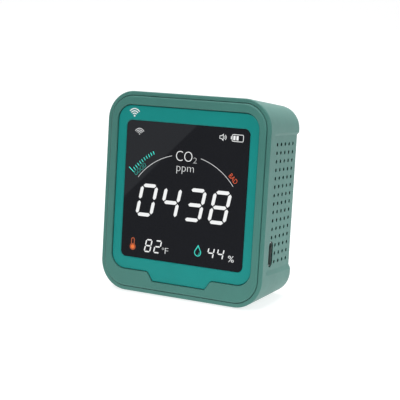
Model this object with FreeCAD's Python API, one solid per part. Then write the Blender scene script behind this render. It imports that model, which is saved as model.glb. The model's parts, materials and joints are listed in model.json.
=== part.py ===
import FreeCAD, Part
import math

# Desktop carbon dioxide monitor. Lengths are in millimetres. +Z is up, the display faces -Y,
# and the vents and the USB-C inlet are on +X. The origin is on the table under the middle of the case.
# The pieces are drawn with the front face upright, and are then leaned back on to the sloping underside.
# "Depth" is the distance behind the front face, and "level" is the height above the case's middle,
# both before the lean.

Vector = FreeCAD.Vector

# Case
CASE_WIDTH = 69.2
CASE_HEIGHT = 76.5
CASE_DEPTH = 30.0
CORNER_RADIUS = 11.1
RIM_DEPTH = 0.6
RIM_ROUNDING = 0.4
BACK_ROUNDING = 2.0
SIDE_SLOPE = math.tan(math.radians(3.0))
LEAN = 5.0
TOP_SLOPE = math.tan(math.radians(LEAN))
WALL = 2.0
BACK_INSIDE = 28.0
FOOT_DROP = 0.5

FRONT_Y = -CASE_DEPTH / 2
MIDDLE_Z = FOOT_DROP + CASE_HEIGHT / 2

# Shallow recess that runs from one side round the back to the other
RECESS_FRONT = 4.2
RECESS_TOP = 26.3
RECESS_BOTTOM = -25.7
RECESS_SINK = 0.6
RECESS_TOP_RAMP = 0.9
RECESS_BOTTOM_RAMP = 1.6
RECESS_CORNER_CUT = 0.8

# Vent grid and USB-C slot
VENT_COLUMNS = 5
VENT_ROWS = 15
VENT_FIRST_DEPTH = 8.75
VENT_COLUMN_PITCH = 3.85
VENT_TOP_LEVEL = 22.15
VENT_ROW_PITCH = 3.1
VENT_RADIUS = 0.72
USB_ROW = 13
USB_LEVEL = VENT_TOP_LEVEL - USB_ROW * VENT_ROW_PITCH
USB_SLOT_HEIGHT = 9.6
USB_SLOT_WIDTH = 3.85

# Front frame, seated in a rebate of the case with a fine groove round it
GROOVE = 0.22
FRAME_MARGIN = 1.8
FRAME_THICKNESS = 3.0
FRAME_ROUNDING = 0.6
FRAME_BEVEL = 0.25
FRAME_OPENING = 55.0

# Teal fascia with a chin tab below it
FASCIA_WIDTH = 59.8
FASCIA_TOP = 32.95
FASCIA_BOTTOM = -29.85
FASCIA_RADIUS = 5.8
FASCIA_FRONT = 0.7
FASCIA_BACK = 1.9
FASCIA_GAP = 0.15
FASCIA_ROUNDING = 0.35
CHIN_BOTTOM = -33.3
CHIN_TOP_WIDTH = 27.4
CHIN_BOTTOM_WIDTH = 22.6
CHIN_INNER_RADIUS = 1.4
CHIN_OUTER_RADIUS = 0.8

# Display stack
SCREEN_LEVEL = 1.05
SCREEN_SIZE = 52.4
SCREEN_RADIUS = 2.2
SCREEN_BEVEL = 0.35
WINDOW_GAP = 0.1
WINDOW_FRONT = 1.0
WINDOW_THICKNESS = 0.9
PANEL_SIZE = 50.4
PANEL_FRONT = 2.2
PANEL_THICKNESS = 1.8
GUIDE_THICKNESS = 1.2
BRACKET_SIZE = 54.2
BRACKET_HOLE = 50.8
BRACKET_THICKNESS = 3.4
BRACKET_RADIUS = 2.5
BRACKET_TAB_REACH = 2.0
BRACKET_TAB_HEIGHT = 9.0
BRACKET_TAB_THICKNESS = 0.9
BRACKET_TAB_LEVELS = (-12.0, 14.0)
FLEX_WIDTH = 22.0
FLEX_SIDE_GAP = 0.5
FLEX_THICKNESS = 0.15
FLEX_START = 3.2
FLEX_DROP = 0.6
FLEX_RISE = 4.5

# Circuit board and the pieces on it
USB_SHELL_HEIGHT = 8.94
USB_SHELL_THICKNESS = 3.26
USB_SHELL_LENGTH = 7.35
USB_SHELL_WALL = 0.3
USB_SHELL_ROUNDING = 1.1
USB_MOUTH_X = 33.1
USB_TONGUE_HEIGHT = 6.69
USB_TONGUE_THICKNESS = 0.7
USB_TONGUE_LENGTH = 5.6
USB_BASE_LENGTH = 0.6
BOARD_THICKNESS = 1.6
BOARD_BACK = VENT_FIRST_DEPTH - USB_SHELL_THICKNESS / 2
BOARD_FRONT = BOARD_BACK - BOARD_THICKNESS
BOARD_WIDTH = 61.0
BOARD_HEIGHT = 67.0
BOARD_NOTCH = 8.2
BOARD_POST_RADIUS = 2.0
BOARD_SCREW_X = 16.0
BOARD_SCREW_LEVEL = 31.0
BOARD_SCREW_RADIUS = 0.9
BOARD_SCREW_LENGTH = 3.2
BOARD_HEAD_RADIUS = 1.7
BOARD_HEAD_HEIGHT = 1.2
CHIPS = (
    (-10.0, -7.0, 9.0, 9.0, 1.0),
    (12.0, -12.0, 5.0, 5.0, 0.9),
    (-22.0, -12.0, 6.0, 5.0, 1.1),
    (18.0, -27.0, 4.0, 3.0, 1.0),
)
RADIO_X = -2.0
RADIO_LEVEL = 27.0
RADIO_WIDTH = 22.0
RADIO_HEIGHT = 11.0
RADIO_THICKNESS = 0.8
SHIELD_X = -5.0
SHIELD_WIDTH = 14.0
SHIELD_HEIGHT = 9.0
SHIELD_THICKNESS = 2.0
SOUNDER_X = -2.0
SOUNDER_LEVEL = -25.0
SOUNDER_RADIUS = 6.0
SOUNDER_HEIGHT = 4.5
SOUNDER_HOLE_RADIUS = 1.0
SOUNDER_HOLE_DEPTH = 1.5

# Carbon dioxide sensor, standing off the board on its pins
SENSOR_X = 12.0
SENSOR_LEVEL = 7.0
SENSOR_WIDTH = 32.0
SENSOR_HEIGHT = 21.0
SENSOR_BOARD_THICKNESS = 1.2
SENSOR_STANDOFF = 3.2
CELL_WIDTH = 27.0
CELL_HEIGHT = 15.0
CELL_THICKNESS = 6.5
CELL_ROUNDING = 1.5
FILTER_WIDTH = 12.0
FILTER_HEIGHT = 7.0
FILTER_THICKNESS = 0.8
PIN_SIZE = 0.64
PIN_PITCH = 2.54
PINS_PER_ROW = 4
PIN_ROW_LEVEL = 8.6

# Temperature and humidity sensor
CLIMATE_X = -25.5
CLIMATE_LEVEL = 2.0
CLIMATE_BOARD_SIZE = (7.0, 10.0)
CLIMATE_BOARD_THICKNESS = 1.0
CLIMATE_CHIP_SIZE = 2.5
CLIMATE_CHIP_THICKNESS = 0.9
CLIMATE_PORT_RADIUS = 0.5

# Battery
BATTERY_LEVEL = -10.0
BATTERY_WIDTH = 42.0
BATTERY_HEIGHT = 32.0
BATTERY_THICKNESS = 6.3
BATTERY_ROUNDING = 1.2
PAD_THICKNESS = 0.5
PAD_INSET = 3.0
LEAD_RADIUS = 0.6
LEAD_XS = (-17.0, -15.0)
LEAD_RISE = 1.5
LEAD_BEND = 1.5
PLUG_WIDTH = 6.0
PLUG_HEIGHT = 4.5
PLUG_THICKNESS = 4.0

# Button board, its switches and the caps in the back
BUTTON_XS = (-13.0, 0.0, 13.0)
BUTTON_LEVEL = 18.0
CAP_RADIUS = 4.0
CAP_CLEARANCE = 0.25
CAP_TOP_DEPTH = 29.85
CAP_ROUNDING = 0.3
CAP_FLANGE_RADIUS = 5.0
CAP_FLANGE_THICKNESS = 0.9
CAP_STOP_GAP = 0.1
SWITCH_SIZE = 6.0
SWITCH_HEIGHT = 3.2
SWITCH_GAP = 0.8
SWITCH_BORE_RADIUS = 1.45
SWITCH_BORE_DEPTH = 2.2
PLUNGER_RADIUS = 1.2
PLUNGER_INSERTION = 1.6
BUTTON_BOARD_WIDTH = 47.0
BUTTON_BOARD_HEIGHT = 9.0
BUTTON_BOARD_THICKNESS = 1.2
BUTTON_SCREW_X = 20.8
BUTTON_POST_RADIUS = 2.0
RIBBON_X = -7.0
RIBBON_WIDTH = 5.0
RIBBON_THICKNESS = 0.3
RIBBON_SOCKET_WIDTH = 7.0
RIBBON_SOCKET_HEIGHT = 3.0
RIBBON_SOCKET_THICKNESS = 1.8

FLANGE_BACK = BACK_INSIDE - CAP_STOP_GAP
FLANGE_FRONT = FLANGE_BACK - CAP_FLANGE_THICKNESS
SWITCH_BACK = FLANGE_FRONT - SWITCH_GAP
SWITCH_FRONT = SWITCH_BACK - SWITCH_HEIGHT
BUTTON_BOARD_FRONT = SWITCH_FRONT - BUTTON_BOARD_THICKNESS

# Case screws, entering from the back
POST_X = 26.8
POST_LEVEL = 30.0
POST_RADIUS = 2.9
POST_JOINT = 7.0
CASE_SCREW_RADIUS = 1.25
CASE_SCREW_TIP = 4.2
PILOT_RADIUS = 1.3
PILOT_FRONT = 3.8
CLEARANCE_RADIUS = 1.45
HEAD_SEAT = 26.5
HEAD_HOLE_RADIUS = 2.3
HEAD_RADIUS = 2.05
HEAD_HEIGHT = 1.6
HEX_SOCKET_SIZE = 1.5
HEX_SOCKET_DEPTH = 0.8
HEX_CORNERS = 6
SMALL_PILOT_RADIUS = 0.95
SMALL_CLEARANCE_RADIUS = 1.1

# Dust mesh behind the vents
MESH_GAP = 0.05
MESH_THICKNESS = 0.3
MESH_FRONT = 7.4
MESH_BACK = 26.4
MESH_MARGIN = 1.4
MESH_USB_MARGIN = 0.6

# Rubber feet
FOOT_X = 17.0
FOOT_DEPTHS = (7.0, 24.5)
FOOT_RADIUS = 3.0
FOOT_POCKET = 0.9
FOOT_ROUNDING = 0.2

EDGE_TOLERANCE = 0.01
BACKWARD = Vector(0, 1, 0)
FOOT_UP = Vector(0, -math.sin(math.radians(LEAN)), math.cos(math.radians(LEAN)))


def at(x, depth, level):
    """Point at x, a depth behind the front face and a level above the case's middle."""
    return Vector(x, FRONT_Y + depth, MIDDLE_Z + level)


def block(width, thickness, height, x, front, level):
    """Box centred on x and level, from the depth front backwards."""
    return Part.makeBox(width, thickness, height, at(x - width / 2, front, level - height / 2))


def rod(radius, front, back, x, level):
    """Cylinder along the depth, between two depths."""
    return Part.makeCylinder(radius, back - front, at(x, front, level), BACKWARD)


def rounded_wire(corners):
    """Closed wire through (point, radius) corners, each rounded by its radius or left sharp at 0."""
    turns = []
    for index, (corner, radius) in enumerate(corners):
        to_last = (corners[index - 1][0] - corner).normalize()
        to_next = (corners[(index + 1) % len(corners)][0] - corner).normalize()
        half_angle = to_last.getAngle(to_next) / 2
        reach = radius / math.tan(half_angle)
        bisector = (to_last + to_next).normalize()
        middle = corner + bisector * (radius / math.sin(half_angle) - radius)
        turns.append((corner + to_last * reach, middle, corner + to_next * reach, radius))
    edges = []
    for index, (start, middle, end, radius) in enumerate(turns):
        if radius > 0:
            edges.append(Part.Arc(start, middle, end).toShape())
        edges.append(Part.makeLine(end, turns[(index + 1) % len(turns)][0]))
    return Part.Wire(edges)


def rectangle_wire(width, height, radius, depth, level=0.0):
    """Rounded rectangle facing forwards."""
    signs = ((1, 1), (-1, 1), (-1, -1), (1, -1))
    return rounded_wire([(at(sx * width / 2, depth, level + sz * height / 2), radius) for sx, sz in signs])


def plate(wire, thickness):
    """Solid from a wire that faces forwards, extruded backwards."""
    return Part.Face(wire).extrude(BACKWARD * thickness)


def edges_at(shape, depth, half_width, half_height, level=0.0):
    """Edges that lie wholly at a depth, inside a window round the given level."""
    found = []
    for edge in shape.Edges:
        inside = [
            abs(vertex.Y - FRONT_Y - depth) < EDGE_TOLERANCE
            and abs(vertex.X) < half_width
            and abs(vertex.Z - MIDDLE_Z - level) < half_height
            for vertex in edge.Vertexes
        ]
        if all(inside):
            found.append(edge)
    return found


def edges_along(shape, direction):
    """Straight edges of a box that run along a direction."""
    found = []
    for edge in shape.Edges:
        tangent = edge.tangentAt(edge.FirstParameter)
        if tangent.cross(direction).Length < EDGE_TOLERANCE:
            found.append(edge)
    return found


def corner_places(x, level):
    """The four places mirrored about the middle of the case."""
    return [(sx * x, sz * level) for sx in (-1, 1) for sz in (-1, 1)]


POST_PLACES = corner_places(POST_X, POST_LEVEL)
BOARD_SCREW_PLACES = corner_places(BOARD_SCREW_X, BOARD_SCREW_LEVEL)


def case_wire(depth, inset):
    """Outline of the tapered case at a depth, drawn in by an inset."""
    side = SIDE_SLOPE * (depth - RIM_DEPTH) + inset
    top = TOP_SLOPE * (depth - RIM_DEPTH) + inset
    return rectangle_wire(CASE_WIDTH - 2 * side, CASE_HEIGHT - 2 * top, CORNER_RADIUS - top, depth)


def case_block(front, back, inset):
    """Tapered solid that follows the case between two depths."""
    return Part.makeLoft([case_wire(front, inset), case_wire(back, inset)], True, True)


def rounded_case_block(back, inset):
    """Tapered solid from the rim, with its back edge rounded."""
    solid = case_block(RIM_DEPTH, back, inset)
    edges = edges_at(solid, back, CASE_WIDTH, CASE_HEIGHT)
    return solid.makeFillet(BACK_ROUNDING, edges)


def recess_side_cutter():
    """The recess seen from the side, open at the back, across the whole width."""
    end = CASE_DEPTH + WALL
    near = RECESS_FRONT + RECESS_CORNER_CUT
    outline = (
        (near, RECESS_TOP),
        (end, RECESS_TOP),
        (end, RECESS_BOTTOM),
        (near, RECESS_BOTTOM),
        (RECESS_FRONT, RECESS_BOTTOM + RECESS_CORNER_CUT),
        (RECESS_FRONT, RECESS_TOP - RECESS_CORNER_CUT),
    )
    wire = rounded_wire([(at(-CASE_WIDTH, depth, level), 0) for depth, level in outline])
    return Part.Face(wire).extrude(Vector(2 * CASE_WIDTH, 0, 0))


def plan_wire(inset, level):
    """Outline of the case behind the recess's front edge, seen from above."""
    back = CASE_DEPTH - inset
    half_front = CASE_WIDTH / 2 - SIDE_SLOPE * (RECESS_FRONT - RIM_DEPTH) - inset
    half_back = CASE_WIDTH / 2 - SIDE_SLOPE * (back - RIM_DEPTH) - inset
    corners = (
        (half_front, RECESS_FRONT, 0),
        (half_back, back, BACK_ROUNDING),
        (-half_back, back, BACK_ROUNDING),
        (-half_front, RECESS_FRONT, 0),
    )
    return rounded_wire([(at(x, depth, level), radius) for x, depth, radius in corners])


def recess_ramp(level, length):
    """Sloping end of the recess, from the outside surface at a level down to its floor."""
    outside = plan_wire(0.0, level)
    floor = plan_wire(RECESS_SINK, level + length)
    return Part.makeLoft([outside, floor], True, True)


def vent_cutters(side, skipped_rows):
    """Vent holes of one side; the first column leaves out the rows taken by the USB-C slot."""
    holes = []
    for column in range(VENT_COLUMNS):
        for row in range(VENT_ROWS):
            if column == 0 and row in skipped_rows:
                continue
            depth = VENT_FIRST_DEPTH + column * VENT_COLUMN_PITCH
            start = at(0, depth, VENT_TOP_LEVEL - row * VENT_ROW_PITCH)
            start.x = side * (CASE_WIDTH / 2 - 2 * WALL - RECESS_SINK)
            holes.append(Part.makeCylinder(VENT_RADIUS, 3 * WALL, start, Vector(side, 0, 0)))
    return holes


def usb_slot_cutter(margin):
    """Round-ended slot through the side wall, wider than the socket by the margin all round."""
    height = USB_SLOT_HEIGHT + 2 * margin
    width = USB_SLOT_WIDTH + 2 * margin
    start_x = CASE_WIDTH / 2 - 3 * WALL
    half = height / 2 - width / 2
    low_corner = at(start_x, VENT_FIRST_DEPTH - width / 2, USB_LEVEL - half)
    slot = Part.makeBox(3 * WALL, width, 2 * half, low_corner)
    for end in (-half, half):
        centre = at(start_x, VENT_FIRST_DEPTH, USB_LEVEL + end)
        slot = slot.fuse(Part.makeCylinder(width / 2, 3 * WALL, centre, Vector(1, 0, 0)))
    return slot


def foot_cylinder(x, depth):
    """Cylinder square to the sloping underside, from the table to the top of a foot's pocket."""
    underside = -CASE_HEIGHT / 2 + TOP_SLOPE * (depth - RIM_DEPTH)
    base = at(x, depth, underside) - FOOT_UP * FOOT_DROP
    return Part.makeCylinder(FOOT_RADIUS, FOOT_DROP + FOOT_POCKET, base, FOOT_UP)


def rear_housing():
    outside = rounded_case_block(CASE_DEPTH, 0.0)
    outside = outside.makeFillet(RIM_ROUNDING, edges_at(outside, RIM_DEPTH, CASE_WIDTH, CASE_HEIGHT))
    shell = outside.cut(recess_side_cutter())
    shell = shell.fuse([
        rounded_case_block(CASE_DEPTH - RECESS_SINK, RECESS_SINK),
        recess_ramp(RECESS_TOP, -RECESS_TOP_RAMP),
        recess_ramp(RECESS_BOTTOM, RECESS_BOTTOM_RAMP),
    ])
    shell = shell.cut(case_block(0.0, BACK_INSIDE, WALL))
    shell = shell.cut(plate(frame_wire(GROOVE, 0.0), FRAME_THICKNESS))
    posts = [rod(POST_RADIUS, POST_JOINT, BACK_INSIDE, x, level) for x, level in POST_PLACES]
    for side in (-1, 1):
        posts.append(rod(BUTTON_POST_RADIUS, SWITCH_FRONT, BACK_INSIDE, side * BUTTON_SCREW_X, BUTTON_LEVEL))
    shell = shell.fuse(posts)
    cutters = vent_cutters(-1, ())
    cutters += vent_cutters(1, (USB_ROW - 1, USB_ROW, USB_ROW + 1))
    cutters.append(usb_slot_cutter(0.0))
    for x, level in POST_PLACES:
        cutters.append(rod(CLEARANCE_RADIUS, POST_JOINT, CASE_DEPTH, x, level))
        cutters.append(rod(HEAD_HOLE_RADIUS, HEAD_SEAT, CASE_DEPTH + WALL, x, level))
    for side in (-1, 1):
        pilot_back = SWITCH_FRONT + BOARD_SCREW_LENGTH
        cutters.append(rod(SMALL_PILOT_RADIUS, SWITCH_FRONT, pilot_back, side * BUTTON_SCREW_X, BUTTON_LEVEL))
    bore_radius = CAP_RADIUS + CAP_CLEARANCE
    for x in BUTTON_XS:
        cutters.append(rod(bore_radius, BACK_INSIDE - WALL, CASE_DEPTH + WALL, x, BUTTON_LEVEL))
    for depth in FOOT_DEPTHS:
        cutters += [foot_cylinder(side * FOOT_X, depth) for side in (-1, 1)]
    return shell.cut(cutters)


def frame_wire(margin, depth):
    """Outline of the front frame, grown by a margin."""
    inset = FRAME_MARGIN - margin
    return rectangle_wire(CASE_WIDTH - 2 * inset, CASE_HEIGHT - 2 * inset, CORNER_RADIUS - inset, depth)


def fascia_wire(depth):
    """Rounded fascia outline with the chin tab at its foot."""
    half = FASCIA_WIDTH / 2
    corners = (
        (half, FASCIA_TOP, FASCIA_RADIUS),
        (-half, FASCIA_TOP, FASCIA_RADIUS),
        (-half, FASCIA_BOTTOM, FASCIA_RADIUS),
        (-CHIN_TOP_WIDTH / 2, FASCIA_BOTTOM, CHIN_INNER_RADIUS),
        (-CHIN_BOTTOM_WIDTH / 2, CHIN_BOTTOM, CHIN_OUTER_RADIUS),
        (CHIN_BOTTOM_WIDTH / 2, CHIN_BOTTOM, CHIN_OUTER_RADIUS),
        (CHIN_TOP_WIDTH / 2, FASCIA_BOTTOM, CHIN_INNER_RADIUS),
        (half, FASCIA_BOTTOM, FASCIA_RADIUS),
    )
    return rounded_wire([(at(x, depth, level), radius) for x, level, radius in corners])


def front_frame():
    solid = plate(frame_wire(0.0, 0.0), FRAME_THICKNESS)
    solid = solid.makeFillet(FRAME_ROUNDING, edges_at(solid, 0.0, CASE_WIDTH, CASE_HEIGHT))
    pocket = plate(fascia_wire(0.0).makeOffset2D(FASCIA_GAP), FASCIA_BACK)
    solid = solid.cut(pocket)
    inner_edges = edges_at(solid, 0.0, FASCIA_WIDTH / 2 + FRAME_MARGIN, FASCIA_TOP + FRAME_MARGIN)
    solid = solid.makeChamfer(FRAME_BEVEL, inner_edges)
    opening_wire = rectangle_wire(FRAME_OPENING, FRAME_OPENING, BRACKET_RADIUS, 0.0, SCREEN_LEVEL)
    solid = solid.cut(plate(opening_wire, FRAME_THICKNESS))
    overlap = FRAME_THICKNESS - FASCIA_BACK
    seat = FRAME_THICKNESS - overlap / 2
    posts = [rod(POST_RADIUS, seat, POST_JOINT, x, level) for x, level in POST_PLACES]
    for x, level in BOARD_SCREW_PLACES:
        posts.append(rod(BOARD_POST_RADIUS, seat, BOARD_FRONT, x, level))
    solid = solid.fuse(posts)
    pilots = [rod(PILOT_RADIUS, PILOT_FRONT, POST_JOINT, x, level) for x, level in POST_PLACES]
    for x, level in BOARD_SCREW_PLACES:
        pilots.append(rod(SMALL_PILOT_RADIUS, BOARD_BACK - BOARD_SCREW_LENGTH, BOARD_FRONT, x, level))
    return solid.cut(pilots)


def screen_wire(margin, depth):
    """Screen outline, grown by a margin."""
    size = SCREEN_SIZE + 2 * margin
    return rectangle_wire(size, size, SCREEN_RADIUS + margin, depth, SCREEN_LEVEL)


def teal_fascia():
    thickness = FASCIA_BACK - FASCIA_FRONT
    solid = plate(fascia_wire(FASCIA_FRONT), thickness)
    solid = solid.makeFillet(FASCIA_ROUNDING, edges_at(solid, FASCIA_FRONT, CASE_WIDTH, CASE_HEIGHT))
    solid = solid.cut(plate(screen_wire(0.0, FASCIA_FRONT), thickness))
    window = SCREEN_SIZE / 2 + EDGE_TOLERANCE
    rim = edges_at(solid, FASCIA_FRONT, window, window, SCREEN_LEVEL)
    return solid.makeChamfer(SCREEN_BEVEL, rim)


def display_window():
    return plate(screen_wire(-WINDOW_GAP, WINDOW_FRONT), WINDOW_THICKNESS)


def lcd_panel():
    return block(PANEL_SIZE, PANEL_THICKNESS, PANEL_SIZE, 0, PANEL_FRONT, SCREEN_LEVEL)


def backlight_guide():
    front = PANEL_FRONT + PANEL_THICKNESS
    return block(PANEL_SIZE, GUIDE_THICKNESS, PANEL_SIZE, 0, front, SCREEN_LEVEL)


def display_bracket():
    """Frame that holds the panel behind the window, with tabs against the back of the front frame."""
    outer = rectangle_wire(BRACKET_SIZE, BRACKET_SIZE, BRACKET_RADIUS, FASCIA_BACK, SCREEN_LEVEL)
    solid = plate(outer, BRACKET_THICKNESS)
    for level in BRACKET_TAB_LEVELS:
        width = BRACKET_SIZE + 2 * BRACKET_TAB_REACH
        tab_level = SCREEN_LEVEL + level
        tabs = block(width, BRACKET_TAB_THICKNESS, BRACKET_TAB_HEIGHT, 0, FRAME_THICKNESS, tab_level)
        solid = solid.fuse(tabs)
    hole = block(BRACKET_HOLE, BRACKET_THICKNESS, BRACKET_HOLE, 0, FASCIA_BACK, SCREEN_LEVEL)
    flex_level = SCREEN_LEVEL - BRACKET_SIZE / 2
    gap_width = FLEX_WIDTH + 2 * FLEX_SIDE_GAP
    flex_gap = block(gap_width, BRACKET_THICKNESS, BRACKET_SIZE - BRACKET_HOLE, 0, PANEL_FRONT, flex_level)
    corners = [rod(POST_RADIUS + GROOVE, 0, POST_JOINT, x, level) for x, level in POST_PLACES]
    return solid.cut([hole, flex_gap] + corners)


def display_flex():
    """Ribbon from the foot of the panel, folded back up on to the circuit board."""
    top = SCREEN_LEVEL - PANEL_SIZE / 2
    bottom = top - FLEX_DROP
    outer_radius = (BOARD_FRONT - FLEX_START) / 2
    inner_radius = outer_radius - FLEX_THICKNESS
    axis_start = at(-FLEX_WIDTH / 2, FLEX_START + outer_radius, bottom)
    bend = Part.makeCylinder(outer_radius, FLEX_WIDTH, axis_start, Vector(1, 0, 0))
    bend = bend.cut(Part.makeCylinder(inner_radius, FLEX_WIDTH, axis_start, Vector(1, 0, 0)))
    upper_half = block(FLEX_WIDTH, 2 * outer_radius, outer_radius, 0, FLEX_START, bottom + outer_radius / 2)
    bend = bend.cut(upper_half)
    front_leg = block(FLEX_WIDTH, FLEX_THICKNESS, FLEX_DROP, 0, FLEX_START, bottom + FLEX_DROP / 2)
    back_start = BOARD_FRONT - FLEX_THICKNESS
    back_leg = block(FLEX_WIDTH, FLEX_THICKNESS, FLEX_RISE, 0, back_start, bottom + FLEX_RISE / 2)
    return bend.fuse([front_leg, back_leg]).removeSplitter()


def main_board():
    solid = block(BOARD_WIDTH, BOARD_THICKNESS, BOARD_HEIGHT, 0, BOARD_FRONT, 0)
    cutters = []
    for x, level in corner_places(BOARD_WIDTH / 2, BOARD_HEIGHT / 2):
        cutters.append(block(2 * BOARD_NOTCH, BOARD_THICKNESS, 2 * BOARD_NOTCH, x, BOARD_FRONT, level))
    for x, level in BOARD_SCREW_PLACES:
        cutters.append(rod(SMALL_CLEARANCE_RADIUS, BOARD_FRONT, BOARD_BACK, x, level))
    return solid.cut(cutters)


def board_chips():
    chips = []
    for x, level, width, height, thickness in CHIPS:
        chips.append(block(width, thickness, height, x, BOARD_BACK, level))
    return chips


def radio_board():
    return block(RADIO_WIDTH, RADIO_THICKNESS, RADIO_HEIGHT, RADIO_X, BOARD_BACK, RADIO_LEVEL)


def radio_shield():
    front = BOARD_BACK + RADIO_THICKNESS
    return block(SHIELD_WIDTH, SHIELD_THICKNESS, SHIELD_HEIGHT, SHIELD_X, front, RADIO_LEVEL)


def sounder():
    """Round sounder with its sound hole in the back face."""
    back = BOARD_BACK + SOUNDER_HEIGHT
    solid = rod(SOUNDER_RADIUS, BOARD_BACK, back, SOUNDER_X, SOUNDER_LEVEL)
    return solid.cut(rod(SOUNDER_HOLE_RADIUS, back - SOUNDER_HOLE_DEPTH, back, SOUNDER_X, SOUNDER_LEVEL))


def usb_block(height, thickness, length, rounding, start_x):
    """Rounded bar along X at the USB-C slot."""
    bar = Part.makeBox(
        length, thickness, height, at(start_x, VENT_FIRST_DEPTH - thickness / 2, USB_LEVEL - height / 2)
    )
    return bar.makeFillet(rounding, edges_along(bar, Vector(1, 0, 0)))


def usb_shell():
    """Open-fronted metal shell of the USB-C socket."""
    start_x = USB_MOUTH_X - USB_SHELL_LENGTH
    outer = usb_block(USB_SHELL_HEIGHT, USB_SHELL_THICKNESS, USB_SHELL_LENGTH, USB_SHELL_ROUNDING, start_x)
    inner = usb_block(
        USB_SHELL_HEIGHT - 2 * USB_SHELL_WALL,
        USB_SHELL_THICKNESS - 2 * USB_SHELL_WALL,
        USB_SHELL_LENGTH,
        USB_SHELL_ROUNDING - USB_SHELL_WALL,
        start_x + USB_SHELL_WALL,
    )
    return outer.cut(inner)


def usb_tongue():
    start_x = USB_MOUTH_X - USB_SHELL_LENGTH + USB_SHELL_WALL
    base_height = USB_SHELL_HEIGHT - 4 * USB_SHELL_WALL
    base_thickness = USB_SHELL_THICKNESS - 4 * USB_SHELL_WALL
    base = usb_block(base_height, base_thickness, USB_BASE_LENGTH, USB_SHELL_WALL, start_x)
    blade_rounding = USB_SHELL_WALL / 2
    blade = usb_block(USB_TONGUE_HEIGHT, USB_TONGUE_THICKNESS, USB_TONGUE_LENGTH, blade_rounding, start_x)
    return base.fuse(blade)


def sensor_board():
    front = BOARD_BACK + SENSOR_STANDOFF
    solid = block(SENSOR_WIDTH, SENSOR_BOARD_THICKNESS, SENSOR_HEIGHT, SENSOR_X, front, SENSOR_LEVEL)
    for x, level in pin_places():
        solid = solid.cut(block(PIN_SIZE, SENSOR_BOARD_THICKNESS, PIN_SIZE, x, front, level))
    return solid


def pin_places():
    """Two rows of pins along the long edges of the sensor."""
    places = []
    for side in (-1, 1):
        for index in range(PINS_PER_ROW):
            x = SENSOR_X + (index - (PINS_PER_ROW - 1) / 2) * PIN_PITCH
            places.append((x, SENSOR_LEVEL + side * PIN_ROW_LEVEL))
    return places


def sensor_pins():
    length = SENSOR_STANDOFF + 2 * SENSOR_BOARD_THICKNESS
    return [block(PIN_SIZE, length, PIN_SIZE, x, BOARD_BACK, level) for x, level in pin_places()]


def cell_front():
    return BOARD_BACK + SENSOR_STANDOFF + SENSOR_BOARD_THICKNESS


def sensor_cell():
    """Optical chamber of the carbon dioxide sensor, with a shallow seat for its filter."""
    front = cell_front()
    wire = rectangle_wire(CELL_WIDTH, CELL_HEIGHT, CELL_ROUNDING, front, SENSOR_LEVEL)
    shifted = plate(wire, CELL_THICKNESS)
    shifted.translate(Vector(SENSOR_X, 0, 0))
    return shifted.cut(sensor_filter())


def sensor_filter():
    front = cell_front() + CELL_THICKNESS - FILTER_THICKNESS
    return block(FILTER_WIDTH, FILTER_THICKNESS, FILTER_HEIGHT, SENSOR_X, front, SENSOR_LEVEL)


def climate_board():
    width, height = CLIMATE_BOARD_SIZE
    return block(width, CLIMATE_BOARD_THICKNESS, height, CLIMATE_X, BOARD_BACK, CLIMATE_LEVEL)


def climate_chip():
    front = BOARD_BACK + CLIMATE_BOARD_THICKNESS
    back = front + CLIMATE_CHIP_THICKNESS
    size = CLIMATE_CHIP_SIZE
    chip = block(size, CLIMATE_CHIP_THICKNESS, size, CLIMATE_X, front, CLIMATE_LEVEL)
    middle = (front + back) / 2
    return chip.cut(rod(CLIMATE_PORT_RADIUS, middle, back, CLIMATE_X, CLIMATE_LEVEL))


def battery_front():
    return BACK_INSIDE - PAD_THICKNESS - BATTERY_THICKNESS


def battery():
    solid = block(BATTERY_WIDTH, BATTERY_THICKNESS, BATTERY_HEIGHT, 0, battery_front(), BATTERY_LEVEL)
    return solid.makeFillet(BATTERY_ROUNDING, edges_along(solid, Vector(0, 0, 1)))


def battery_pad():
    width = BATTERY_WIDTH - 2 * PAD_INSET
    height = BATTERY_HEIGHT - 2 * PAD_INSET
    return block(width, PAD_THICKNESS, height, 0, BACK_INSIDE - PAD_THICKNESS, BATTERY_LEVEL)


def battery_plug():
    x = (LEAD_XS[0] + LEAD_XS[-1]) / 2
    return block(PLUG_WIDTH, PLUG_THICKNESS, PLUG_HEIGHT, x, BOARD_BACK, lead_level())


def lead_level():
    """Level at which the battery leads run forwards to their plug."""
    return BATTERY_LEVEL + BATTERY_HEIGHT / 2 + LEAD_RISE + LEAD_BEND


def battery_leads():
    """Two round wires that leave the top of the battery and bend forwards to the plug."""
    start_level = BATTERY_LEVEL + BATTERY_HEIGHT / 2
    bend_level = start_level + LEAD_RISE
    lead_depth = battery_front() + BATTERY_THICKNESS / 2
    plug_back = BOARD_BACK + PLUG_THICKNESS
    centre_depth = lead_depth - LEAD_BEND
    diagonal = LEAD_BEND * math.sqrt(0.5)
    leads = []
    for x in LEAD_XS:
        start = at(x, lead_depth, start_level)
        bend_start = at(x, lead_depth, bend_level)
        bend_middle = at(x, centre_depth + diagonal, bend_level + diagonal)
        bend_end = at(x, centre_depth, bend_level + LEAD_BEND)
        path = Part.Wire([
            Part.makeLine(start, bend_start),
            Part.Arc(bend_start, bend_middle, bend_end).toShape(),
            Part.makeLine(bend_end, at(x, plug_back, bend_level + LEAD_BEND)),
        ])
        profile = Part.Wire([Part.makeCircle(LEAD_RADIUS, start, Vector(0, 0, 1))])
        leads.append(path.makePipeShell([profile], True, True))
    return leads


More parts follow.
